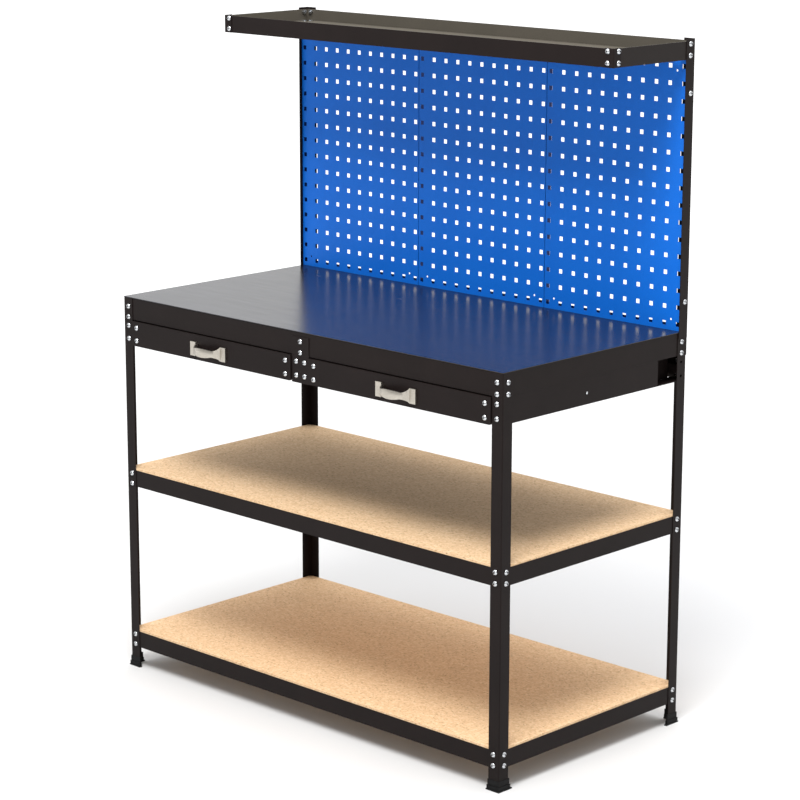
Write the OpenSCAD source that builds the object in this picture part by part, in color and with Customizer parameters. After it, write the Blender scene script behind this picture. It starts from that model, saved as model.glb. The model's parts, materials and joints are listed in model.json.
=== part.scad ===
// Steel workbench: four angle legs, a sheet steel worktop over two shallow drawers,
// two particle board shelves below, and a perforated back panel that carries a tray shelf.
// Units are millimetres. X runs to the right, Y to the back and Z up from the floor.
// The origin lies on the floor, in the middle of the whole bench's outline.

/* [Frame] */
// Width over the legs
frame_w = 1204; // [1104:2:1304]
// Depth over the legs
frame_d = 610; // [580:1:680]
// Height of the working surface
work_h = 917; // [880:1:960]
// Width of each flange of the leg angles
leg_flange = 30; // [28:1:34]
// Thickness of the frame's steel sheet
sheet_t = 1.5; // [1.5:0.1:2]

/* [Shelves] */
// Height of the lower shelf's beams above the floor
lower_shelf_z = 50; // [40:1:120]
// Height of the middle shelf's beams above the floor
middle_shelf_z = 455; // [380:1:520]
// Height of a shelf beam
beam_h = 40; // [40:1:46]
// Thickness of the particle boards
board_t = 5; // [4:0.5:9]

/* [Drawers] */
// Height of the drawer fronts
drawer_front_h = 59; // [57:0.5:60]
// Depth of the drawer boxes behind their fronts
drawer_depth = 590; // [500:5:590]
// Reach of the handles in front of the drawer fronts
handle_reach = 26; // [22:1:34]

/* [Back panel] */
// Height of the perforated panels
panel_h = 599.6; // [599.6:38:637.6]
// Spacing of the square holes
peg_pitch = 38; // [37:0.5:38]
// Side of the square holes
peg_hole = 10; // [8:0.5:11]
// Depth of the tray shelf on top, over its corner angles
tray_d = 277.5; // [240:0.5:320]

/* [Hidden] */

// Everything exact: circles above this many sides are true circles
$fn = 32;
// Running gap between neighbouring sheets, and overshoot of cutting tools
gap = 0.2;
over = 1;

// Fasteners: M6 button head bolts with a hexagon socket, and plain nuts
bolt_d = 6;
bolt_hole_d = 6.6;
head_d = 11.8;
head_h = 4.4;
head_rim_h = 0.8;
socket_af = 4;
socket_depth = 2.2;
nut_af = 10;
nut_h = 5;
nut_bore_d = 6.2;
thread_end = 1.5;
// Outer radius of the fold of an angle
fold_r = 2.5;
// Distance of every bolt from the outer corner of its angle
bolt_inset = 16.5;

// Drawer fronts stand a little proud of the legs
front_proud = 3.1;
front_t = 1.5;
// Reach of the rear bolt heads behind the legs, over the upper posts
rear_reach = sheet_t + head_h;
// Front face and rear face of the legs, set so that the whole outline is centred on Y = 0
y_front = (front_proud + handle_reach - rear_reach - frame_d) / 2;
y_rear = y_front + frame_d;
y_mid = (y_front + y_rear) / 2;

// Feet: a lip, a block and a thin sleeve, each an angle whose arm along Y is longer than that along X
foot_lip_out = 4;
foot_lip_x = 34;
foot_lip_y = 39;
foot_lip_h = 2.5;
foot_block_out = 2.6;
foot_block_x = 32.5;
foot_block_y = 35;
foot_block_h = 11;
foot_sleeve_out = 1;
foot_sleeve_x = 31.5;
foot_sleeve_y = 33;
foot_sleeve_h = 24;
foot_in = 3.5;
foot_floor = 3;

// Heights of the worktop group
top_sheet_t = 1.5;
leg_top = work_h - top_sheet_t;
skirt_h = 52;
skirt_z = leg_top - skirt_h;
skirt_bolts = [skirt_h - 21.1, skirt_h - 46.2];
rail_top_z = skirt_z - 0.1;
rail_h = 58;
rail_z = rail_top_z - rail_h;
rail_bolts = [rail_z + 11.4, rail_z + 42.9];
rail_t = 1.2;

// Beams: bolt heights above the beam's lower edge, and width of the ledge
beam_bolts = [6.5, 31.5];
ledge_w = 20;

// Centre plate that hangs the drawer rails from the front beam
plate_half_w = 27;
plate_h = 105;
plate_z = rail_z - 5;
centre_bolt_x = 13.25;

// Rails
side_rail_ledge = 40;
centre_web_x = 24.8;
centre_ledge_x = 38;
rail_tab_w = 26;
rail_tab_h = 50;
ledge_start = 4;
guide_h = 2.4;
guide_from = 35;
guide_to = 560;
web_cut_from = 513;
web_cut_h = rail_t + 0.4;
stop_z = rail_z + 25.4;
stop_screw_d = 5;
stop_screw_l = 13;
stop_clearance = 0.4;

// Drawers
drawer_inner_x = plate_half_w + 1.8;
drawer_outer_x = frame_w / 2 - leg_flange - 1.2;
drawer_front_w = drawer_outer_x - drawer_inner_x;
drawer_front_top = skirt_z - 2.5;
drawer_front_z = drawer_front_top - drawer_front_h;
front_return = 5.6;
front_corner_r = 4;
box_side_gap = 3;
box_wall = 1;
box_z = rail_z + rail_t + 0.6;
box_top = drawer_front_top - 3;
drawer_travel = 315.5;
ear_reach = 26;
ear_h = 21;
ear_z = box_z + 13;
// The screws stand just clear of the ears when a drawer is fully out
stop_y = drawer_depth - box_wall - drawer_travel - stop_screw_d / 2 - stop_clearance;
drawer_bolt_z = [drawer_front_z + 13.4, drawer_front_z + 44.1];
drawer_bolt_inset = 16.5;

// Handles: two feet joined by a waisted bow
handle_l = 119;
handle_h = 33;
handle_foot = 17.5;
handle_foot_t = 4;
handle_strap_t = 3;
// The bow's crown starts at this distance from the middle and rises this much
crown_x = 34;
crown_rise = 9;
// Height of the bow's middle, and height and place of its two necks
bow_h = 20.5;
neck_h = 14.5;
neck_x = 29;
handle_z = drawer_front_z + 26;
handle_screw_d = 4;
handle_screw_head_d = 8;
handle_screw_head_h = 2.4;
handle_screw_depth = 3;

// Perforated panels
panel_t = 1;
panel_fold = 16;
panel_seam = 1.8;
panel_side_gap = 0.2;
panel_lip = 12;
panel_inset = 589.9;
panel_cols = 11;
panel_rows = round((panel_h - 29.6) / peg_pitch) + 1;
panel_w = (frame_w - 2 * panel_side_gap - 2 * panel_seam) / 3;
panel_step = panel_w + panel_seam;
panel_z = work_h + gap;
panel_row_z = 14.8;
panel_screw_hole_d = 5;
panel_bolt_y = 8.5;
panel_bolt_z = [66.4, panel_h - 73];

// Upper posts and tray shelf
post_out = sheet_t;
post_h = 1562 - 599.6 - 917 + panel_h + work_h;
post_side_z = skirt_z + 38;
post_rear_z = skirt_z - 1.5;
tray_z = panel_z + panel_h + gap;
tray_bolts_z = [9, 34];
tray_front = frame_d + post_out - tray_d;
tray_corner_flange = 24;
tray_panel_t = 1.2;
tray_panel_top = 13;
tray_notch = 32;

// ---------------------------------------------------------------- placing helpers

// Puts a shape drawn at the front left corner, with X and Y pointing inwards, at any corner
module at_corner(side, back) {
    translate([side * frame_w / 2, back < 0 ? y_front : y_rear, 0])
        mirror([side > 0 ? 1 : 0, 0, 0])
            mirror([0, back > 0 ? 1 : 0, 0])
                children();
}

// Swaps X and Y, which carries a shape from the front flange to the side flange
module on_side_flange() {
    mirror([1, -1, 0]) children();
}

// Draws a shape for the right hand side, or its mirror image on the left
module on_side(side) {
    mirror([side < 0 ? 1 : 0, 0, 0]) children();
}

// ---------------------------------------------------------------- fasteners

// Dome of a button head: its flat side is at Y = 0 and it rises towards -Y
module button_head(d, h, rim) {
    cap = h - rim;
    ball_r = (d * d / 4 + cap * cap) / (2 * cap);
    rotate([90, 0, 0]) {
        cylinder(d = d, h = rim);
        intersection() {
            translate([0, 0, h - ball_r]) sphere(r = ball_r);
            translate([0, 0, rim]) cylinder(d = d + over, h = h);
        }
    }
}

// Bolt along Y: the head is outside, at -Y, and the shank reaches through grip and a nut
module bolt(grip) {
    difference() {
        union() {
            button_head(head_d, head_h, head_rim_h);
            rotate([-90, 0, 0]) cylinder(d = bolt_d, h = grip + nut_h + thread_end);
        }
        translate([0, socket_depth - head_h, 0])
            rotate([90, 0, 0]) cylinder(d = socket_af / cos(30), h = socket_depth + over, $fn = 6);
    }
}

// Nut whose outer face lies at Y = grip
module nut(grip) {
    translate([0, grip, 0]) rotate([-90, 0, 0]) difference() {
        cylinder(d = nut_af / cos(30), h = nut_h, $fn = 6);
        translate([0, 0, -over]) cylinder(d = nut_bore_d, h = nut_h + 2 * over);
    }
}

// Clearance hole along Y through sheets near Y = 0
module bolt_hole(reach = 4) {
    translate([0, -reach, 0]) rotate([-90, 0, 0]) cylinder(d = bolt_hole_d, h = 2 * reach);
}

// Repeats a fastener on both flanges at the given heights
module corner_pair(heights) {
    for (z = heights) {
        translate([bolt_inset, 0, z]) children();
        on_side_flange() translate([bolt_inset, 0, z]) children();
    }
}

// ---------------------------------------------------------------- legs and feet

function raised(z, list) = [for (v = list) z + v];

lower_bolts = raised(lower_shelf_z, beam_bolts);
middle_bolts = raised(middle_shelf_z, beam_bolts);
top_bolts = raised(skirt_z, skirt_bolts);

// Angle section with the outside of its rounded fold at the origin
module angle(flange, thick, h) {
    linear_extrude(h) {
        translate([fold_r, 0]) square([flange - fold_r, thick]);
        translate([0, fold_r]) square([thick, flange - fold_r]);
        difference() {
            intersection() {
                translate([fold_r, fold_r]) circle(r = fold_r);
                square(fold_r);
            }
            translate([fold_r, fold_r]) circle(r = fold_r - thick);
        }
    }
}

module leg(side, back) {
    at_corner(side, back) difference() {
        translate([0, 0, foot_floor]) angle(leg_flange, sheet_t, leg_top - foot_floor);
        corner_pair(concat(lower_bolts, middle_bolts, top_bolts)) bolt_hole();
        for (z = rail_bolts) translate([bolt_inset, 0, z]) bolt_hole();
        if (back > 0) for (z = rail_bolts)
            on_side_flange() translate([bolt_inset, 0, z]) bolt_hole();
    }
}

// One layer of a foot: an angle shape that reaches out past the leg and in behind its flanges
module foot_layer(out, x, y, h) {
    translate([-out, -out, 0]) cube([x + out, out + foot_in, h]);
    translate([-out, -out, 0]) cube([out + foot_in, y + out, h]);
}

module foot(side, back) {
    slot = sheet_t + 2 * gap;
    at_corner(side, back) difference() {
        union() {
            foot_layer(foot_lip_out, foot_lip_x, foot_lip_y, foot_lip_h);
            foot_layer(foot_block_out, foot_block_x, foot_block_y, foot_block_h);
            foot_layer(foot_sleeve_out, foot_sleeve_x, foot_sleeve_y, foot_sleeve_h);
        }
        translate([-gap, -gap, foot_floor]) angle(leg_flange + 2 * gap, slot, foot_sleeve_h);
    }
}

module upper_post(side) {
    at_corner(side, 1) translate([-post_out, -post_out, 0]) difference() {
        translate([0, 0, post_rear_z]) angle(leg_flange, sheet_t, post_h - post_rear_z);
        translate([-over, sheet_t, post_rear_z - over])
            cube([sheet_t + 2 * over, leg_flange, post_side_z - post_rear_z + over]);
        translate([-over, -over, post_rear_z - over])
            cube([post_out + over + gap, leg_flange, post_side_z - post_rear_z + over]);
        for (z = top_bolts) translate([bolt_inset + post_out, 0, z]) bolt_hole();
        corner_pair(raised(tray_z, tray_bolts_z)) bolt_hole();
        for (z = raised(panel_z, panel_bolt_z))
            on_side_flange() translate([frame_d - panel_inset - panel_bolt_y + post_out, 0, z]) bolt_hole();
    }
}

// ---------------------------------------------------------------- beams

// Beam along X with its outer face at Y = 0, facing -Y, and a ledge turned inwards
module beam(l, h, ledge_l, hole_x, hole_z, ledge_z) {
    difference() {
        union() {
            translate([-l / 2, 0, 0]) cube([l, sheet_t, h]);
            translate([-ledge_l / 2, 0, ledge_z]) cube([ledge_l, ledge_w, sheet_t]);
        }
        for (x = hole_x, z = hole_z) translate([x, 0, z]) bolt_hole();
    }
}

long_l = frame_w - 2 * fold_r - 2 * gap;
long_ledge_l = frame_w - 4 * sheet_t - 2 * gap;
short_l = frame_d - 4 * sheet_t - 4 * gap;
short_ledge_l = frame_d - 2 * sheet_t - 2 * ledge_w - 4 * gap;
long_hole_x = frame_w / 2 - bolt_inset;
short_hole_x = frame_d / 2 - bolt_inset;

// Front beam (back = -1) or rear beam (back = 1) of a level
module long_beam(back, z, h, hole_x, hole_z) {
    translate([0, back < 0 ? y_front + sheet_t : y_rear - sheet_t, z])
        rotate([0, 0, back < 0 ? 0 : 180])
            beam(long_l, h, long_ledge_l, hole_x, hole_z, h - sheet_t);
}

// Left beam (side = -1) or right beam (side = 1) of a level
module short_beam(side, z, h, hole_z) {
    translate([side * (frame_w / 2 - sheet_t), y_mid, z])
        rotate([0, 0, side * 90])
            beam(short_l, h, short_ledge_l, [-short_hole_x, short_hole_x], hole_z, h - sheet_t);
}

module shelf_long_beam(back, z) {
    long_beam(back, z, beam_h, [-long_hole_x, long_hole_x], beam_bolts);
}

module shelf_short_beam(side, z) {
    short_beam(side, z, beam_h, beam_bolts);
}

// Particle board with clipped corners, resting on a level's beams
module shelf_board(z) {
    edge = sheet_t + gap;
    half_w = frame_w / 2 - edge;
    half_d = frame_d / 2 - edge;
    clip = 10;
    translate([0, y_mid, z]) linear_extrude(board_t) polygon([
        [-half_w + clip, -half_d], [half_w - clip, -half_d], [half_w, -half_d + clip],
        [half_w, half_d - clip], [half_w - clip, half_d], [-half_w + clip, half_d],
        [-half_w, half_d - clip], [-half_w, -half_d + clip]
    ]);
}

// ---------------------------------------------------------------- worktop and rails

module worktop_sheet() {
    translate([-frame_w / 2, y_front, leg_top]) cube([frame_w, frame_d, top_sheet_t]);
}

module centre_plate_shape() {
    translate([0, y_front, 0]) difference() {
        translate([-plate_half_w, 0, plate_z]) cube([2 * plate_half_w, sheet_t, plate_h]);
        for (z = top_bolts) translate([0, 0, z]) bolt_hole();
        for (x = [-centre_bolt_x, centre_bolt_x], z = rail_bolts) translate([x, 0, z]) bolt_hole();
    }
}

// Where the rails start inside a leg's flange and beside its fold, and where their rear tabs lie
rail_start = sheet_t + 0.1;
rail_corner = fold_r + 0.1;
rear_strip_y = frame_d - rail_start - rail_t;
rear_tab_y = rear_strip_y - rail_t - 0.1;

// Side rail drawn at the front left corner: web, ledge, guide lip and two bolted tabs
module side_rail(side) {
    guide_x = frame_w / 2 - drawer_outer_x + box_side_gap - gap * 2 - rail_t;
    at_corner(side, -1) difference() {
        union() {
            translate([rail_start, rail_corner, rail_z]) cube([rail_t, frame_d - 2 * rail_corner, rail_h]);
            translate([rail_start, ledge_start, rail_z])
                cube([side_rail_ledge - rail_start, rear_tab_y - ledge_start, rail_t]);
            translate([guide_x, guide_from, rail_z]) cube([rail_t, guide_to - guide_from, rail_t + guide_h]);
            translate([rail_corner, rail_start, rail_z + 3]) cube([rail_tab_w, rail_t, rail_tab_h]);
            translate([rail_start, rear_tab_y, rail_z]) cube([rail_tab_w, rail_t, rail_tab_h + 3]);
        }
        translate([rail_start - over, web_cut_from, rail_z + web_cut_h])
            cube([rail_t + over, rear_tab_y - web_cut_from, rail_h]);
        for (y = [0, frame_d], z = rail_bolts) translate([bolt_inset, y, z]) bolt_hole(8);
        on_side_flange() translate([stop_y, 0, stop_z]) bolt_hole();
    }
}

// Centre rail on the right of the middle: web, ledges, top flange and two bolted tabs
module centre_rail(side) {
    inner_x = 6;
    on_side(side) translate([0, y_front, 0]) difference() {
        union() {
            translate([centre_web_x, rail_start, rail_z])
                cube([rail_t, rear_tab_y + rail_t - rail_start, rail_h]);
            translate([inner_x, ledge_start, rail_z])
                cube([centre_ledge_x - inner_x, rear_tab_y - ledge_start, rail_t]);
            translate([inner_x, ledge_start, rail_z + rail_h - rail_t])
                cube([centre_web_x - inner_x, rear_tab_y - ledge_start, rail_t]);
            for (y = [rail_start, rear_tab_y])
                translate([inner_x, y, rail_z + 3]) cube([centre_web_x - inner_x, rail_t, rail_tab_h]);
        }
        for (y = [0, frame_d], z = rail_bolts) translate([centre_bolt_x, y, z]) bolt_hole(8);
    }
}

// Strip that closes the back between the rear legs, under the rear beam
module rear_strip() {
    l = frame_w - 2 * (rail_corner + 2 * gap);
    translate([0, y_front + rear_strip_y, rail_z]) difference() {
        translate([-l / 2, 0, 0]) cube([l, rail_t, rail_h]);
        for (x = [-1, 1], z = rail_bolts) {
            translate([x * centre_bolt_x, 0, z - rail_z]) bolt_hole();
            translate([x * (frame_w / 2 - bolt_inset), 0, z - rail_z]) bolt_hole();
        }
    }
}

// Screws through the side rails that the drawers' ears meet
module stop_screws() {
    for (side = [-1, 1]) at_corner(side, -1) on_side_flange()
        translate([stop_y, rail_start, stop_z]) {
            button_head(head_d / 2, head_h / 3, head_rim_h);
            rotate([-90, 0, 0]) cylinder(d = stop_screw_d, h = stop_screw_l);
        }
}

// ---------------------------------------------------------------- drawers

box_x0 = drawer_inner_x + box_side_gap;
box_x1 = drawer_outer_x - box_side_gap;
box_y0 = front_t - front_proud;
box_h = box_top - box_z;

// Bottom and sides of a drawer, folded from one sheet
module drawer_box(side) {
    y0 = box_y0 + box_wall;
    l = drawer_depth - box_wall - y0;
    on_side(side) translate([0, y_front + y0, box_z]) {
        translate([box_x0, 0, 0]) cube([box_x1 - box_x0, l, box_wall]);
        for (x = [box_x0, box_x1 - box_wall]) translate([x, 0, 0]) cube([box_wall, l, box_h]);
    }
}

// Plate behind the drawer front that the front and the handle are fastened through
module drawer_inner_front(side) {
    on_side(side) translate([0, y_front, 0]) difference() {
        translate([box_x0, box_y0, box_z]) cube([box_x1 - box_x0, box_wall, box_h]);
        drawer_bolt_places() bolt_hole();
        handle_screw_places() bolt_hole();
    }
}

// Back of a drawer, with an ear that reaches out to meet the stop screw
module drawer_back(side) {
    on_side(side) translate([0, y_front + drawer_depth - box_wall, 0]) {
        translate([box_x0, 0, box_z]) cube([box_x1 - box_x0, box_wall, box_h]);
        translate([box_x1 - box_wall, 0, ear_z]) cube([ear_reach + box_wall, box_wall, ear_h]);
    }
}

module drawer_bolt_places() {
    for (x = [drawer_inner_x + drawer_bolt_inset, drawer_outer_x - drawer_bolt_inset], z = drawer_bolt_z)
        translate([x, -front_proud, z]) children();
}

module handle_screw_places() {
    mid = (drawer_inner_x + drawer_outer_x) / 2;
    offset_x = (handle_l - handle_foot) / 2;
    for (x = [mid - offset_x, mid + offset_x]) translate([x, -front_proud, handle_z]) children();
}

// Folded front with its edges turned back and its lower corners rounded
module front_outline(inset) {
    r = front_corner_r - inset;
    w = drawer_front_w - 2 * inset;
    h = drawer_front_h - 2 * inset;
    translate([drawer_inner_x + inset, drawer_front_z + inset]) union() {
        translate([0, r]) square([w, h - r]);
        translate([r, 0]) square([w - 2 * r, h]);
        for (x = [r, w - r]) translate([x, r]) circle(r = r);
    }
}

module drawer_front(side) {
    on_side(side) translate([0, y_front, 0]) difference() {
        translate([0, front_return - front_proud, 0]) rotate([90, 0, 0])
            linear_extrude(front_return) front_outline(0);
        translate([0, front_return + over - front_proud, 0]) rotate([90, 0, 0])
            linear_extrude(front_return + over - front_t) front_outline(front_t);
        drawer_bolt_places() bolt_hole();
        handle_screw_places() bolt_hole();
    }
}

// Outline of the bow seen from above, filled and drawn in by inset on every side
module bow_outline(inset) {
    foot_x = handle_l / 2 - handle_foot;
    rise = handle_reach - crown_rise - handle_foot_t;
    run = foot_x - crown_x;
    side_inset = inset * sqrt(rise * rise + run * run) / rise;
    far = handle_reach + over;
    far_x = foot_x - run * (far - handle_foot_t) / rise;
    crown_r = (crown_x * crown_x + crown_rise * crown_rise) / (2 * crown_rise);
    intersection() {
        translate([0, crown_r - handle_reach]) circle(r = crown_r - inset, $fn = 96);
        polygon([
            [side_inset - foot_x, inset], [side_inset - foot_x, -handle_foot_t], [side_inset - far_x, -far],
            [far_x - side_inset, -far], [foot_x - side_inset, -handle_foot_t], [foot_x - side_inset, inset]
        ]);
    }
}

// Outline of the handle seen from above: two feet on the X axis and the bow towards -Y
module bow_profile() {
    difference() {
        union() {
            bow_outline(0);
            translate([-handle_l / 2, -handle_foot_t]) square([handle_l, handle_foot_t]);
        }
        bow_outline(handle_strap_t);
    }
}

// Outline of the handle seen from the front: full height at the feet, with a neck beside each
module waist_outline() {
    bite = (handle_h - neck_h) / 2;
    reach = handle_l / 2 - handle_foot - neck_x;
    bite_r = (reach * reach + bite * bite) / (2 * bite);
    bulge = (bow_h - neck_h) / 2;
    bulge_r = (neck_x * neck_x + bulge * bulge) / (2 * bulge);
    difference() {
        square([handle_l, handle_h], center = true);
        for (up = [0, 1]) mirror([0, up, 0]) {
            for (sx = [-1, 1]) translate([sx * neck_x, neck_h / 2 + bite_r]) circle(r = bite_r);
            difference() {
                translate([-neck_x, 0]) square([2 * neck_x, handle_h]);
                translate([0, bow_h / 2 - bulge_r]) circle(r = bulge_r, $fn = 96);
            }
        }
    }
}

module drawer_handle(side) {
    mid = (drawer_inner_x + drawer_outer_x) / 2;
    on_side(side) translate([mid, y_front - front_proud, handle_z]) difference() {
        intersection() {
            translate([0, 0, -handle_h / 2]) linear_extrude(handle_h) bow_profile();
            translate([0, over, 0]) rotate([90, 0, 0])
                linear_extrude(handle_reach + 2 * over) waist_outline();
        }
        for (s = [-1, 1]) translate([s * (handle_l - handle_foot) / 2, -handle_screw_depth, 0])
            rotate([-90, 0, 0]) cylinder(d = handle_screw_d + 0.2, h = handle_screw_depth + over);
    }
}

drawer_grip = front_t + box_wall;

module drawer_fasteners(side) {
    on_side(side) translate([0, y_front, 0]) {
        drawer_bolt_places() bolt(drawer_grip);
        handle_screw_places() translate([0, drawer_grip, 0]) {
            rotate([-90, 0, 0]) cylinder(d = handle_screw_head_d, h = handle_screw_head_h);
            translate([0, -drawer_grip - handle_screw_depth + 0.2, 0])
                rotate([-90, 0, 0]) cylinder(d = handle_screw_d, h = drawer_grip + handle_screw_depth);
        }
    }
}

module drawer_nuts(side) {
    on_side(side) translate([0, y_front, 0]) drawer_bolt_places() nut(drawer_grip);
}

// ---------------------------------------------------------------- perforated panels

module pegboard(place) {
    first_x = -(panel_cols - 1) * peg_pitch / 2;
    last_z = panel_row_z + (panel_rows - 1) * peg_pitch;
    translate([place * panel_step, y_front + panel_inset, panel_z]) difference() {
        union() {
            translate([0, panel_t, 0]) rotate([90, 0, 0]) linear_extrude(panel_t) difference() {
                translate([-panel_w / 2, 0]) square([panel_w, panel_h]);
                for (i = [0 : panel_cols - 1], j = [0 : panel_rows - 1])
                    translate([first_x + i * peg_pitch, panel_row_z + j * peg_pitch])
                        square(peg_hole, center = true);
                for (s = [-1, 1], z = [panel_row_z + 10, last_z - 10])
                    translate([s * (first_x + peg_pitch / 2), z]) circle(d = panel_screw_hole_d);
            }
            for (s = [-1, 1]) translate([s * (panel_w - panel_t) / 2 - panel_t / 2, 0, 0])
                cube([panel_t, panel_fold, panel_h]);
            for (z = [0, panel_h - panel_t]) translate([-panel_w / 2, 0, z])
                cube([panel_w, panel_fold, panel_t]);
            for (z = [0, panel_h - panel_lip]) translate([-panel_w / 2, panel_fold - panel_t, z])
                cube([panel_w, panel_t, panel_lip]);
        }
        for (s = [-1, 1], z = panel_bolt_z) translate([s * panel_w / 2, panel_bolt_y, z])
            rotate([0, 0, 90]) bolt_hole();
    }
}

// ---------------------------------------------------------------- tray shelf

tray_mid = y_front + (tray_front + frame_d) / 2;
tray_inner_d = frame_d - tray_front - sheet_t;

module tray_long_beam(back) {
    l = frame_w - 2 * (fold_r - post_out) - 2 * gap;
    ledge_l = frame_w - 2 * sheet_t - 2 * gap;
    translate([0, back < 0 ? y_front + tray_front + sheet_t : y_rear, tray_z])
        rotate([0, 0, back < 0 ? 0 : 180])
            beam(l, beam_h, ledge_l, [-long_hole_x - post_out, long_hole_x + post_out], tray_bolts_z, 0);
}

module tray_short_beam(side) {
    l = tray_inner_d - 2 * sheet_t - 2 * gap;
    hole_x = tray_d / 2 - bolt_inset;
    translate([side * frame_w / 2, y_front + frame_d + post_out - tray_d / 2, tray_z])
        rotate([0, 0, side * 90])
            beam(l, beam_h, l - 2 * (ledge_w - sheet_t) - 2 * gap, [-hole_x, hole_x], tray_bolts_z, 0);
}

// Short angle outside each front corner of the tray
module tray_corner(side) {
    on_side(side) translate([frame_w / 2 + post_out, y_front + tray_front, tray_z])
        mirror([1, 0, 0]) difference() {
            angle(tray_corner_flange, sheet_t, beam_h + 1);
            corner_pair(tray_bolts_z) bolt_hole();
        }
}

// Sheet with turned down edges and notched corners, resting on the tray's ledges
module tray_sheet() {
    half_w = frame_w / 2 - sheet_t - 3 * gap;
    half_d = tray_inner_d / 2 - sheet_t - 3 * gap;
    h = tray_panel_top - sheet_t;
    translate([0, tray_mid + sheet_t / 2, tray_z + sheet_t]) difference() {
        translate([-half_w, -half_d, 0]) cube([2 * half_w, 2 * half_d, h]);
        translate([-half_w + tray_panel_t, -half_d + tray_panel_t, -over])
            cube([2 * (half_w - tray_panel_t), 2 * (half_d - tray_panel_t), h + over - tray_panel_t]);
        for (sx = [-1, 1], sy = [-1, 1])
            translate([sx * half_w, sy * half_d, 0])
                cube([2 * tray_notch, 2 * tray_notch, 4 * h], center = true);
    }
}

// ---------------------------------------------------------------- fastener groups

frame_grip = 2 * sheet_t;
rail_grip = rail_start + rail_t;
rear_rail_grip = frame_d - rear_tab_y;
rear_centre_grip = 2 * rail_t + 0.1;

// Runs its child once at every bolt of a shelf level
module shelf_bolt_places(heights) {
    for (side = [-1, 1], back = [-1, 1]) at_corner(side, back) corner_pair(heights) children();
}

// Beam bolts of the worktop, apart from those that also hold the upper posts
module top_bolt_places() {
    for (side = [-1, 1]) {
        at_corner(side, -1) corner_pair(top_bolts) children();
        at_corner(side, 1) on_side_flange() for (z = top_bolts) translate([bolt_inset, 0, z]) children();
    }
    translate([0, y_front, 0]) for (z = top_bolts) translate([0, 0, z]) children();
}

module post_foot_places() {
    for (side = [-1, 1]) at_corner(side, 1) for (z = top_bolts)
        translate([bolt_inset, -post_out, z]) children();
}

module front_rail_places() {
    for (side = [-1, 1]) at_corner(side, -1) for (z = rail_bolts) translate([bolt_inset, 0, z]) children();
    translate([0, y_front, 0]) for (x = [-centre_bolt_x, centre_bolt_x], z = rail_bolts)
        translate([x, 0, z]) children();
}

module rear_rail_places() {
    for (side = [-1, 1]) at_corner(side, 1) for (z = rail_bolts) translate([bolt_inset, 0, z]) children();
}

module rear_centre_places() {
    translate([0, y_front + rear_strip_y + rail_t, 0]) rotate([0, 0, 180])
        for (x = [-centre_bolt_x, centre_bolt_x], z = rail_bolts) translate([x, 0, z]) children();
}

module tray_bolt_places() {
    heights = raised(tray_z, tray_bolts_z);
    for (side = [-1, 1]) {
        at_corner(side, 1) translate([-post_out, -post_out, 0]) corner_pair(heights) children();
        on_side(side) translate([frame_w / 2 + post_out, y_front + tray_front, 0])
            mirror([1, 0, 0]) corner_pair(heights) children();
    }
}

module panel_side_places() {
    for (side = [-1, 1], z = raised(panel_z, panel_bolt_z))
        on_side(side) translate([frame_w / 2 + post_out, y_front + panel_inset + panel_bolt_y, z])
            rotate([0, 0, 90]) children();
}

module panel_seam_places() {
    for (side = [-1, 1], z = raised(panel_z, panel_bolt_z))
        translate([side * panel_step / 2 + panel_seam / 2 + panel_t, y_front + panel_inset + panel_bolt_y, z])
            rotate([0, 0, 90]) children();
}

panel_side_grip = frame_w / 2 + post_out - panel_step - panel_w / 2 + panel_t;
panel_seam_grip = 2 * panel_t + panel_seam;

module all_frame_nuts() {
    shelf_bolt_places(concat(lower_bolts, middle_bolts)) nut(frame_grip);
    top_bolt_places() nut(frame_grip);
    post_foot_places() nut(frame_grip + post_out);
    front_rail_places() nut(rail_grip);
    rear_rail_places() nut(rear_rail_grip);
    rear_centre_places() nut(rear_centre_grip);
    tray_bolt_places() nut(frame_grip);
    panel_side_places() nut(panel_side_grip);
    panel_seam_places() nut(panel_seam_grip);
}

// ---------------------------------------------------------------- nodes

steel = [0.13, 0.12, 0.115];
top_steel = [0.1, 0.11, 0.14];
zinc = [0.85, 0.86, 0.88];
chipboard = [0.82, 0.67, 0.5];
panel_blue = [0.07, 0.31, 0.74];
nickel = [0.78, 0.76, 0.74];
plastic = [0.05, 0.05, 0.05];

module foot_front_left() { color(plastic) foot(-1, -1); }
module foot_front_right() { color(plastic) foot(1, -1); }
module foot_rear_left() { color(plastic) foot(-1, 1); }
module foot_rear_right() { color(plastic) foot(1, 1); }
module leg_front_left() { color(steel) leg(-1, -1); }
module leg_front_right() { color(steel) leg(1, -1); }
module leg_rear_left() { color(steel) leg(-1, 1); }
module leg_rear_right() { color(steel) leg(1, 1); }
module upper_post_left() { color(steel) upper_post(-1); }
module upper_post_right() { color(steel) upper_post(1); }
module worktop_panel() { color(top_steel) worktop_sheet(); }
module worktop_beam_front() {
    color(steel) long_beam(-1, skirt_z, skirt_h, [-long_hole_x, 0, long_hole_x], skirt_bolts);
}
module worktop_beam_rear() {
    color(steel) long_beam(1, skirt_z, skirt_h, [-long_hole_x, long_hole_x], skirt_bolts);
}
module worktop_beam_left() { color(steel) short_beam(-1, skirt_z, skirt_h, skirt_bolts); }
module worktop_beam_right() { color(steel) short_beam(1, skirt_z, skirt_h, skirt_bolts); }
module centre_plate() { color(steel) centre_plate_shape(); }
module side_rail_left() { color(steel) side_rail(-1); }
module side_rail_right() { color(steel) side_rail(1); }
module centre_rail_left() { color(steel) centre_rail(-1); }
module centre_rail_right() { color(steel) centre_rail(1); }
module rear_rail() { color(steel) rear_strip(); }
module drawer_left_box() { color(steel) drawer_box(-1); }
module drawer_left_inner_front() { color(steel) drawer_inner_front(-1); }
module drawer_left_back() { color(steel) drawer_back(-1); }
module drawer_left_front() { color(steel) drawer_front(-1); }
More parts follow.
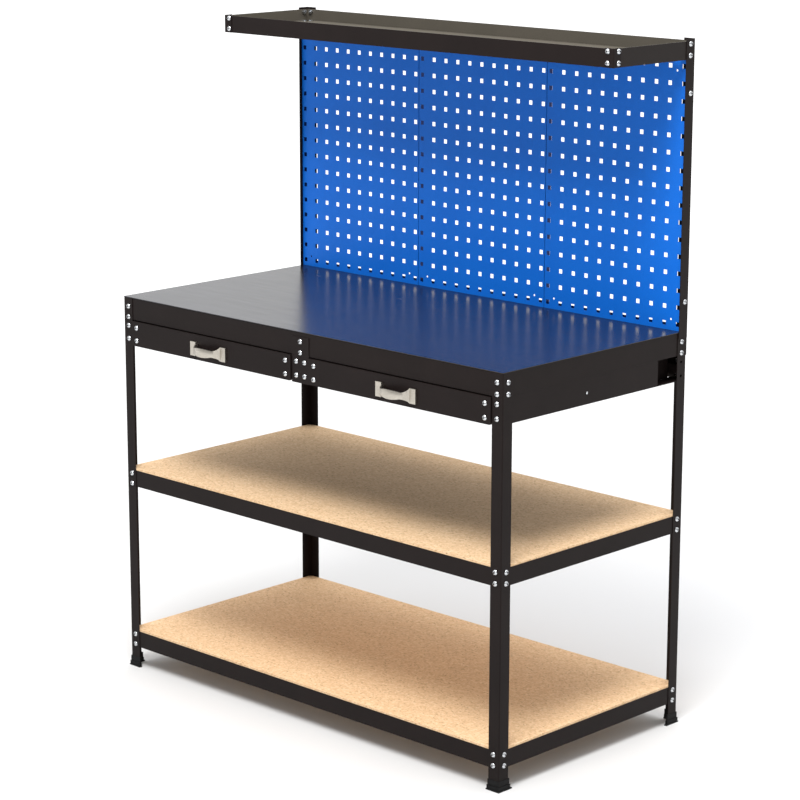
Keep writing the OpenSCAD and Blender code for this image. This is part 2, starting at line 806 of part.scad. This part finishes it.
module drawer_left_handle() { color(nickel) drawer_handle(-1); }
module drawer_left_bolts() { color(zinc) drawer_fasteners(-1); }
module drawer_left_nuts() { color(zinc) drawer_nuts(-1); }
module drawer_right_box() { color(steel) drawer_box(1); }
module drawer_right_inner_front() { color(steel) drawer_inner_front(1); }
module drawer_right_back() { color(steel) drawer_back(1); }
module drawer_right_front() { color(steel) drawer_front(1); }
module drawer_right_handle() { color(nickel) drawer_handle(1); }
module drawer_right_bolts() { color(zinc) drawer_fasteners(1); }
module drawer_right_nuts() { color(zinc) drawer_nuts(1); }
module middle_shelf_board() { color(chipboard) shelf_board(middle_shelf_z + beam_h); }
module middle_beam_front() { color(steel) shelf_long_beam(-1, middle_shelf_z); }
module middle_beam_rear() { color(steel) shelf_long_beam(1, middle_shelf_z); }
module middle_beam_left() { color(steel) shelf_short_beam(-1, middle_shelf_z); }
module middle_beam_right() { color(steel) shelf_short_beam(1, middle_shelf_z); }
module lower_shelf_board() { color(chipboard) shelf_board(lower_shelf_z + beam_h); }
module lower_beam_front() { color(steel) shelf_long_beam(-1, lower_shelf_z); }
module lower_beam_rear() { color(steel) shelf_long_beam(1, lower_shelf_z); }
module lower_beam_left() { color(steel) shelf_short_beam(-1, lower_shelf_z); }
module lower_beam_right() { color(steel) shelf_short_beam(1, lower_shelf_z); }
module pegboard_left() { color(panel_blue) pegboard(-1); }
module pegboard_centre() { color(panel_blue) pegboard(0); }
module pegboard_right() { color(panel_blue) pegboard(1); }
module tray_panel() { color(steel) tray_sheet(); }
module tray_beam_front() { color(steel) tray_long_beam(-1); }
module tray_beam_rear() { color(steel) tray_long_beam(1); }
module tray_beam_left() { color(steel) tray_short_beam(-1); }
module tray_beam_right() { color(steel) tray_short_beam(1); }
module tray_corner_left() { color(steel) tray_corner(-1); }
module tray_corner_right() { color(steel) tray_corner(1); }
module worktop_bolts() {
    color(zinc) {
        top_bolt_places() bolt(frame_grip);
        post_foot_places() bolt(frame_grip + post_out);
        front_rail_places() bolt(rail_grip);
        rear_rail_places() bolt(rear_rail_grip);
        rear_centre_places() bolt(rear_centre_grip);
    }
}
module shelf_bolts() { color(zinc) shelf_bolt_places(concat(lower_bolts, middle_bolts)) bolt(frame_grip); }
module upper_bolts() {
    color(zinc) {
        tray_bolt_places() bolt(frame_grip);
        panel_side_places() bolt(panel_side_grip);
        panel_seam_places() bolt(panel_seam_grip);
    }
}
module frame_nuts() { color(zinc) all_frame_nuts(); }
module drawer_stop_screws() { color(zinc) stop_screws(); }

foot_front_left();
foot_front_right();
foot_rear_left();
foot_rear_right();
leg_front_left();
leg_front_right();
leg_rear_left();
leg_rear_right();
upper_post_left();
upper_post_right();
worktop_panel();
worktop_beam_front();
worktop_beam_rear();
worktop_beam_left();
worktop_beam_right();
centre_plate();
side_rail_left();
side_rail_right();
centre_rail_left();
centre_rail_right();
rear_rail();
drawer_left_box();
drawer_left_inner_front();
drawer_left_back();
drawer_left_front();
drawer_left_handle();
drawer_left_bolts();
drawer_left_nuts();
drawer_right_box();
drawer_right_inner_front();
drawer_right_back();
drawer_right_front();
drawer_right_handle();
drawer_right_bolts();
drawer_right_nuts();
middle_shelf_board();
middle_beam_front();
middle_beam_rear();
middle_beam_left();
middle_beam_right();
lower_shelf_board();
lower_beam_front();
lower_beam_rear();
lower_beam_left();
lower_beam_right();
pegboard_left();
pegboard_centre();
pegboard_right();
tray_panel();
tray_beam_front();
tray_beam_rear();
tray_beam_left();
tray_beam_right();
tray_corner_left();
tray_corner_right();
worktop_bolts();
shelf_bolts();
upper_bolts();
frame_nuts();
drawer_stop_screws();
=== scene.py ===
"""Looks of the steel workbench: materials, softened edges, floor, light and camera over its CAD frame."""
import json
import math

import bmesh
import bpy
from mathutils import Matrix, Vector


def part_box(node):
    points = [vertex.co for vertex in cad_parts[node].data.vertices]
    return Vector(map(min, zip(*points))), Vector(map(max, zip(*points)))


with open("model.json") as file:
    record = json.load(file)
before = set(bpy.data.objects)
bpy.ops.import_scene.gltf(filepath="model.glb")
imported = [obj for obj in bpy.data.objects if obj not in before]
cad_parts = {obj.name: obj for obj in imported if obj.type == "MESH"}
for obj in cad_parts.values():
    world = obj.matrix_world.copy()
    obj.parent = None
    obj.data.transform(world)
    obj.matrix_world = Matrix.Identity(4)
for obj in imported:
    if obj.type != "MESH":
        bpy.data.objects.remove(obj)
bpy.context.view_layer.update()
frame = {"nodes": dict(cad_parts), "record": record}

NODES = frame["nodes"]
MM = 0.001
WHITE = (1.0, 1.0, 1.0, 1.0)
BLACK = (0.0, 0.0, 0.0, 1.0)

# A colour Mix node's sockets, which share their names with its number and vector sockets.
MIX_FACTOR = 0
MIX_A = 6
MIX_B = 7
MIXED = 2


# ---------------------------------------------------------------- nodes


def linear(hex_colour):
    """sRGB hex such as "1f5fc4" to a linear RGBA tuple."""
    values = [int(hex_colour[i : i + 2], 16) / 255 for i in (0, 2, 4)]
    return tuple(v / 12.92 if v <= 0.04045 else ((v + 0.055) / 1.055) ** 2.4 for v in values) + (1.0,)


def per_mm(size_mm):
    """The texture scale whose features are about size_mm wide."""
    return 1 / (size_mm * MM)


def fill(tree, node, inputs):
    """Gives a node's inputs their values, or links them where a socket is given."""
    for key, value in inputs.items():
        if isinstance(value, bpy.types.NodeSocket):
            tree.links.new(value, node.inputs[key])
        else:
            node.inputs[key].default_value = value


def add(tree, kind, inputs, stops=(), **settings):
    """Adds one shader node with its inputs, its settings and, on a colour ramp, (position, colour) stops."""
    node = tree.nodes.new("ShaderNode" + kind)
    for key, value in settings.items():
        setattr(node, key, value)
    fill(tree, node, inputs)
    if stops:
        points = node.color_ramp.elements
        points[0].position, points[0].color = stops[0]
        points[1].position, points[1].color = stops[-1]
        for position, colour in stops[1:-1]:
            points.new(position).color = colour
    return node


def material(name):
    """A node material with a principled surface, and the object coordinates that its patterns use."""
    made = bpy.data.materials.new(name)
    made.use_nodes = True
    tree = made.node_tree
    place = add(tree, "TexCoord", {}).outputs["Object"]
    return made, tree, tree.nodes["Principled BSDF"], place


# ---------------------------------------------------------------- powder coats

CLOUD_MM = 90
GLOSS_CLOUD_MM = 35
PEEL_MM = 2.6
PEEL_DEPTH_MM = 0.03
PEEL_SHADE = (0.86, 1.14)
MASK_SOFT_MM = 0.4
TRAY_SIDE_IN_MM = 0.7
TRAY_BACK_IN_MM = 0.75
FOLD_BEHIND_MM = 1.4
TRAY_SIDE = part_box("tray_beam_right")[1][0] / MM - TRAY_SIDE_IN_MM
TRAY_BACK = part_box("tray_beam_rear")[1][1] / MM - TRAY_BACK_IN_MM
FOLDS_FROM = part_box("pegboard_centre")[0][1] / MM + FOLD_BEHIND_MM


def beyond(tree, value, limit_mm):
    """1 where the value in metres is more than limit_mm, else 0."""
    limits = {"From Min": (limit_mm - MASK_SOFT_MM) * MM, "From Max": (limit_mm + MASK_SOFT_MM) * MM}
    return add(tree, "MapRange", {"Value": value, **limits}).outputs["Result"]


def outer_tray_faces(tree, place):
    """The tray's outer faces are black like the frame; its inner faces keep a lighter, warmer grey, which is
    painted light on the same black coat.
    """
    spot = add(tree, "SeparateXYZ", {"Vector": place})
    sideways = add(tree, "Math", {0: spot.outputs["X"]}, operation="ABSOLUTE").outputs["Value"]
    ends = beyond(tree, sideways, TRAY_SIDE)
    back = beyond(tree, spot.outputs["Y"], TRAY_BACK)
    either = add(tree, "Math", {0: ends, 1: back}, operation="MAXIMUM")
    return either.outputs["Value"], linear("1e1816")


def painted_fold_shade(tree, place):
    """Painted shade: the folds behind the perforated face are drawn a darker blue, so that they read as
    shaded through the outer holes.
    """
    spot = add(tree, "SeparateXYZ", {"Vector": place})
    return beyond(tree, spot.outputs["Y"], FOLDS_FROM), linear("0a2558")


def powder_coat(name, dark, light, gloss, specular, elsewhere=None):
    """Powder coat: two close tones in soft clouds, a gloss that wanders, and orange peel.
    The peel is drawn a few times wider than real so that it still shows from across a room.
    elsewhere gives a mask and the colour that the coat has where the mask is 1."""
    made, tree, surface, place = material(name)
    clouds = add(tree, "TexNoise", {"Vector": place, "Scale": per_mm(CLOUD_MM), "Detail": 3.0})
    peel = add(tree, "TexNoise", {"Vector": place, "Scale": per_mm(PEEL_MM), "Detail": 2.0})
    sheen = add(tree, "TexNoise", {"Vector": place, "Scale": per_mm(GLOSS_CLOUD_MM), "Detail": 3.0})
    tones = {MIX_FACTOR: clouds.outputs["Fac"], MIX_A: linear(dark), MIX_B: linear(light)}
    colour = add(tree, "Mix", tones, data_type="RGBA").outputs[MIXED]
    if elsewhere:
        mask, other = elsewhere(tree, place)
        parts = {MIX_FACTOR: mask, MIX_A: colour, MIX_B: other}
        colour = add(tree, "Mix", parts, data_type="RGBA").outputs[MIXED]
    low, high = PEEL_SHADE
    shade = add(tree, "MapRange", {"Value": peel.outputs["Fac"], "To Min": low, "To Max": high})
    shaded = {MIX_FACTOR: 1.0, MIX_A: colour, MIX_B: shade.outputs["Result"]}
    colour = add(tree, "Mix", shaded, data_type="RGBA", blend_type="MULTIPLY").outputs[MIXED]
    low, high = gloss
    rough = add(tree, "MapRange", {"Value": sheen.outputs["Fac"], "To Min": low, "To Max": high})
    relief = {"Height": peel.outputs["Fac"], "Strength": 1.0, "Distance": PEEL_DEPTH_MM * MM}
    bumps = add(tree, "Bump", relief)
    coat = {"Base Color": colour, "Roughness": rough.outputs["Result"], "Normal": bumps.outputs["Normal"]}
    fill(tree, surface, {**coat, "Specular IOR Level": specular})
    return made


# ---------------------------------------------------------------- worktop, boards, plated metal, plastic


WIPE_LENGTH = 9
WAVE_DEPTH_MM = 0.25


def enamel(name):
    """Smooth dark enamel of the worktop: a mirror-like sheet, barely wavy, with faint wipe marks.
    The wipe marks run along X, WIPE_LENGTH times as long as they are wide."""
    made, tree, surface, place = material(name)
    drawn = add(tree, "Mapping", {"Vector": place, "Scale": (1 / WIPE_LENGTH, 1, 1)}).outputs["Vector"]
    clouds = add(tree, "TexNoise", {"Vector": place, "Scale": per_mm(120), "Detail": 2.0})
    waves = add(tree, "TexNoise", {"Vector": place, "Scale": per_mm(160), "Detail": 1.0})
    wipes = add(tree, "TexNoise", {"Vector": drawn, "Scale": per_mm(14), "Detail": 4.0, "Roughness": 0.6})
    tones = {MIX_FACTOR: clouds.outputs["Fac"], MIX_A: linear("14151c"), MIX_B: linear("1c1d26")}
    colour = add(tree, "Mix", tones, data_type="RGBA")
    rough = add(tree, "MapRange", {"Value": wipes.outputs["Fac"], "To Min": 0.2, "To Max": 0.3})
    relief = {"Height": waves.outputs["Fac"], "Strength": 1.0, "Distance": WAVE_DEPTH_MM * MM}
    bumps = add(tree, "Bump", relief)
    coat = {"Base Color": colour.outputs[MIXED], "Roughness": rough.outputs["Result"]}
    fill(tree, surface, {**coat, "Normal": bumps.outputs["Normal"]})
    return made


CHIP_TONES = [
    (0.0, linear("c49f76")),
    (0.3, linear("d4b088")),
    (0.65, linear("e0bf98")),
    (1.0, linear("ebd0ad")),
]
FLECK_STOPS = [(0.0, WHITE), (0.04, WHITE), (0.06, BLACK), (1.0, BLACK)]
GRAINS = (
    {"size_mm": 3.6, "longer": (1.6, 1, 1)},
    {"size_mm": 2.4, "longer": (1, 2.2, 1)},
    {"size_mm": 3.0, "longer": (1.3, 1, 1)},
)
CHIP_DEPTH_MM = 0.25
SLIVER_SHARE = 0.45
CLOUD_SHARE = 0.35
FLECK_SHARE = 0.6


def particle_board(name):
    """Particle board: pale glued chips of several sizes and tones, with darker bark flecks.
    The chips are drawn about twice as coarse as real so that the grain reads from across a room."""
    made, tree, surface, place = material(name)
    grains = []
    for grain in GRAINS:
        squeeze = [1 / length for length in grain["longer"]]
        drawn = add(tree, "Mapping", {"Vector": place, "Scale": squeeze}).outputs["Vector"]
        cells = add(tree, "TexVoronoi", {"Vector": drawn, "Scale": per_mm(grain["size_mm"])})
        grains.append(add(tree, "SeparateColor", {"Color": cells.outputs["Color"]}).outputs["Red"])
    chips, slivers, flecks = grains
    coarse = add(tree, "ValToRGB", {"Fac": chips}, CHIP_TONES).outputs["Color"]
    fine = add(tree, "ValToRGB", {"Fac": slivers}, CHIP_TONES).outputs["Color"]
    parts = {MIX_FACTOR: SLIVER_SHARE, MIX_A: coarse, MIX_B: fine}
    colour = add(tree, "Mix", parts, data_type="RGBA").outputs[MIXED]
    clouds = add(tree, "TexNoise", {"Vector": place, "Scale": per_mm(70), "Detail": 4.0, "Roughness": 0.6})
    cloud = add(tree, "MapRange", {"Value": clouds.outputs["Fac"], "To Min": 0.0, "To Max": CLOUD_SHARE})
    parts = {MIX_FACTOR: cloud.outputs["Result"], MIX_A: colour, MIX_B: linear("d7b48b")}
    colour = add(tree, "Mix", parts, data_type="RGBA").outputs[MIXED]
    chosen = add(tree, "ValToRGB", {"Fac": flecks}, FLECK_STOPS)
    bark = add(tree, "SeparateColor", {"Color": chosen.outputs["Color"]})
    fleck = add(tree, "MapRange", {"Value": bark.outputs["Red"], "To Min": 0.0, "To Max": FLECK_SHARE})
    parts = {MIX_FACTOR: fleck.outputs["Result"], MIX_A: colour, MIX_B: linear("a3805a")}
    colour = add(tree, "Mix", parts, data_type="RGBA").outputs[MIXED]
    rough = add(tree, "MapRange", {"Value": slivers, "To Min": 0.7, "To Max": 0.9}).outputs["Result"]
    relief = {"Height": chips, "Strength": 0.7, "Distance": CHIP_DEPTH_MM * MM}
    bumps = add(tree, "Bump", relief).outputs["Normal"]
    board = {"Base Color": colour, "Roughness": rough, "Normal": bumps, "Specular IOR Level": 0.3}
    fill(tree, surface, board)
    return made


# Painted shade for closed-in places: dark grey where closed in, no change where open.
SOCKET_SHADE_STOPS = [(0.3, linear("2a2a2c")), (0.75, WHITE)]
PLATE_DEPTH_MM = 0.03


def plated(name, dark, light, gloss, length, grain_mm, shade_crevice_mm=0):
    """Plated metal: fine drawn grain in tone and gloss, drawn coarser than real so that it shows.
    The grain runs along X, length times as long as it is wide.
    Painted shade: crevices narrower than the last argument, in mm, are darkened, standing in for the shade in
    the sockets of bolt heads."""
    made, tree, surface, place = material(name)
    drawn = add(tree, "Mapping", {"Vector": place, "Scale": (1 / length, 1, 1)}).outputs["Vector"]
    fine = {"Vector": drawn, "Scale": per_mm(grain_mm), "Detail": 3.0, "Roughness": 0.6}
    grain = add(tree, "TexNoise", fine)
    sheen = add(tree, "TexNoise", {"Vector": drawn, "Scale": per_mm(grain_mm * 2), "Detail": 2.0})
    tones = {MIX_FACTOR: grain.outputs["Fac"], MIX_A: linear(dark), MIX_B: linear(light)}
    colour = add(tree, "Mix", tones, data_type="RGBA").outputs[MIXED]
    # Painted shade: darker where the surface is closed in, in sockets and other narrow gaps.
    if shade_crevice_mm:
        closed = add(tree, "AmbientOcclusion", {"Distance": shade_crevice_mm * MM})
        shade = add(tree, "ValToRGB", {"Fac": closed.outputs["AO"]}, SOCKET_SHADE_STOPS)
        shaded = {MIX_FACTOR: 1.0, MIX_A: colour, MIX_B: shade.outputs["Color"]}
        colour = add(tree, "Mix", shaded, data_type="RGBA", blend_type="MULTIPLY").outputs[MIXED]
    low, high = gloss
    rough = add(tree, "MapRange", {"Value": sheen.outputs["Fac"], "To Min": low, "To Max": high})
    relief = {"Height": grain.outputs["Fac"], "Strength": 0.5, "Distance": PLATE_DEPTH_MM * MM}
    bumps = add(tree, "Bump", relief)
    plate = {"Base Color": colour, "Metallic": 1.0, "Roughness": rough.outputs["Result"]}
    fill(tree, surface, {**plate, "Normal": bumps.outputs["Normal"]})
    return made


SPARK_MM = 1.6
SPARK_DEPTH_MM = 0.12


def moulded(name):
    """Black moulded plastic: matt, slightly uneven tone, and a spark texture drawn coarse enough to show."""
    made, tree, surface, place = material(name)
    sparks = add(tree, "TexNoise", {"Vector": place, "Scale": per_mm(SPARK_MM), "Detail": 2.0})
    texture = sparks.outputs["Fac"]
    clouds = add(tree, "TexNoise", {"Vector": place, "Scale": per_mm(12), "Detail": 2.0}).outputs["Fac"]
    tones = {MIX_FACTOR: clouds, MIX_A: linear("0c0c0d"), MIX_B: linear("151515")}
    colour = add(tree, "Mix", tones, data_type="RGBA").outputs[MIXED]
    rough = add(tree, "MapRange", {"Value": texture, "To Min": 0.5, "To Max": 0.66}).outputs["Result"]
    relief = {"Height": texture, "Strength": 1.0, "Distance": SPARK_DEPTH_MM * MM}
    bumps = add(tree, "Bump", relief).outputs["Normal"]
    plastic = {"Base Color": colour, "Roughness": rough, "Normal": bumps, "Specular IOR Level": 0.16}
    fill(tree, surface, plastic)
    return made


BY_SLOT = {
    "dark_steel": powder_coat("black_powder_coat", "181312", "201918", (0.36, 0.48), 0.09),
    "worktop_steel": enamel("dark_enamel"),
    # The blue coat carries painted shade on the panels' folds and lips, behind the perforated face.
    "blue_steel": powder_coat("blue_powder_coat", "0967d2", "0e70dc", (0.4, 0.5), 0.16, painted_fold_shade),
    # The zinc plate carries painted shade in the sockets of bolt heads.
    "zinc": plated("bright_zinc_plate", "b9bcc0", "dfe1e3", (0.2, 0.34), 1, 2.0, 3.5),
    "satin_nickel": plated("satin_nickel_plate", "a39d93", "cfc9be", (0.26, 0.4), 12, 1.4),
    "chipboard": particle_board("particle_board"),
    "foot_plastic": moulded("matt_black_plastic"),
}
# Painted light: the tray's inner faces get a lighter, warmer grey than its black outer faces, in place of the
# light they catch.
TRAY_COAT_PAINTED_LIGHT = powder_coat("tray_coat_painted_light", "504c44", "58534b", (0.32, 0.42), 0.14, outer_tray_faces)
TRAY_INSIDE = ("tray_panel", "tray_beam_rear", "tray_beam_left", "tray_beam_right")
SLOT_OF = {part["node"]: part["material_slot"] for part in frame["record"]["subparts"]}

for node_name, ob in NODES.items():
    ob.data.materials.clear()
    ob.data.materials.append(TRAY_COAT_PAINTED_LIGHT if node_name in TRAY_INSIDE else BY_SLOT[SLOT_OF[node_name]])


# ---------------------------------------------------------------- softened edges of the CAD pieces

EDGE_MM = {"worktop_steel": 0.5, "chipboard": 0.5, "foot_plastic": 0.8, "satin_nickel": 0.9}
WELD_MM = 0.02
EDGE_STEPS = 2
SHARP_DEGREES = 40


def soften(ob, width_mm):
    """Rounds the sharp edges of a CAD piece by modifiers, so that they catch the light."""
    weld = ob.modifiers.new("weld", "WELD")
    weld.merge_threshold = WELD_MM * MM
    edge = ob.modifiers.new("edge", "BEVEL")
    edge.width = width_mm * MM
    edge.segments = EDGE_STEPS
    edge.limit_method = "ANGLE"
    edge.angle_limit = math.radians(SHARP_DEGREES)
    edge.harden_normals = True
    edge.use_clamp_overlap = True


for node_name, ob in NODES.items():
    width_mm = EDGE_MM.get(SLOT_OF[node_name])
    if width_mm:
        soften(ob, width_mm)


# ---------------------------------------------------------------- floor and light

FLOOR_SIZE = 60
FLOOR_GLOW = {"From Min": 1.3, "From Max": 7.0, "To Min": 0.02, "To Max": 0.7}
OVERHEAD = {"at": (0.2, 0.3, 5.6), "aim": (0, 0, 0), "size": 4.0, "power": 200}
FRONT = {"at": (1.3, -2.3, 5.2), "aim": (0, 0, 0.9), "size": 2.0, "power": 270}
BRIGHT_SIDE = (-0.55, 0.72, 0.42)
SKY_GLOW = {"From Min": -0.3, "From Max": 0.85, "To Min": 0.5, "To Max": 1.2}


def plane(name, size):
    """A flat square mesh centred on the origin."""
    mesh = bpy.data.meshes.new(name)
    shape = bmesh.new()
    bmesh.ops.create_grid(shape, x_segments=1, y_segments=1, size=size / 2)
    shape.to_mesh(mesh)
    shape.free()
    made = bpy.data.objects.new(name, mesh)
    bpy.context.scene.collection.objects.link(made)
    return made


def white_paper(name):
    """Matt white paper with a very faint unevenness. It glows a little, and more far from the object,
    so that shadows stay soft and the distance stays white."""
    made, tree, surface, place = material(name)
    far = add(tree, "VectorMath", {0: place}, operation="LENGTH").outputs["Value"]
    glow = add(tree, "MapRange", {"Value": far, **FLOOR_GLOW}, interpolation_type="SMOOTHSTEP")
    clouds = add(tree, "TexNoise", {"Vector": place, "Scale": per_mm(700), "Detail": 2.0}).outputs["Fac"]
    tones = {MIX_FACTOR: clouds, MIX_A: linear("d0d0d0"), MIX_B: linear("d4d4d4")}
    colour = add(tree, "Mix", tones, data_type="RGBA").outputs[MIXED]
    fill(tree, surface, {"Base Color": colour, "Roughness": 0.9, "Specular IOR Level": 0.1})
    fill(tree, surface, {"Emission Color": WHITE, "Emission Strength": glow.outputs["Result"]})
    return made


def area_light(name, at, aim, size, power):
    """A soft square light at a point, facing another."""
    lamp = bpy.data.lights.new(name, "AREA")
    lamp.size = size
    lamp.energy = power
    made = bpy.data.objects.new(name, lamp)
    turn = (Vector(aim) - Vector(at)).to_track_quat("-Z", "Y").to_matrix().to_4x4()
    made.matrix_world = Matrix.Translation(at) @ turn
    bpy.context.scene.collection.objects.link(made)


def studio_sky(name):
    """White surroundings, brighter behind the object on its left."""
    made = bpy.data.worlds.new(name)
    made.use_nodes = True
    tree = made.node_tree
    direction = add(tree, "TexCoord", {}).outputs["Generated"]
    toward = add(tree, "VectorMath", {0: direction, 1: BRIGHT_SIDE}, operation="DOT_PRODUCT").outputs["Value"]
    glow = add(tree, "MapRange", {"Value": toward, **SKY_GLOW}, interpolation_type="SMOOTHSTEP")
    fill(tree, tree.nodes["Background"], {"Color": WHITE, "Strength": glow.outputs["Result"]})
    return made


floor = plane("floor", FLOOR_SIZE)
floor.data.materials.append(white_paper("studio_floor"))
area_light("overhead_light", **OVERHEAD)
area_light("front_light", **FRONT)
bpy.context.scene.world = studio_sky("studio")
bpy.context.scene.view_settings.view_transform = "Standard"


# ---------------------------------------------------------------- camera

SENSOR_MM = 36
FAR_CLIP = 100


def look(position, azimuth, elevation, roll, focal_mm):
    """Camera at a position. Azimuth 0 looks along +Y and grows towards +X; angles in degrees."""
    az, el, ro = (math.radians(v) for v in (azimuth, elevation, roll))
    ahead = Vector((math.sin(az) * math.cos(el), math.cos(az) * math.cos(el), math.sin(el)))
    side = ahead.cross(Vector((0, 0, 1))).normalized()
    over = side.cross(ahead)
    right = math.cos(ro) * side + math.sin(ro) * over
    up = math.cos(ro) * over - math.sin(ro) * side
    lens = bpy.data.cameras.new("camera")
    lens.lens = focal_mm
    lens.sensor_width = SENSOR_MM
    lens.clip_end = FAR_CLIP
    made = bpy.data.objects.new("camera", lens)
    turn = Matrix((right, up, -ahead)).transposed().to_4x4()
    made.matrix_world = Matrix.Translation(position) @ turn
    bpy.context.scene.collection.objects.link(made)
    bpy.context.scene.camera = made


look(position=(4.0609, -4.1828, 2.0721), azimuth=-43.98, elevation=-13.12, roll=0.112, focal_mm=116.733)
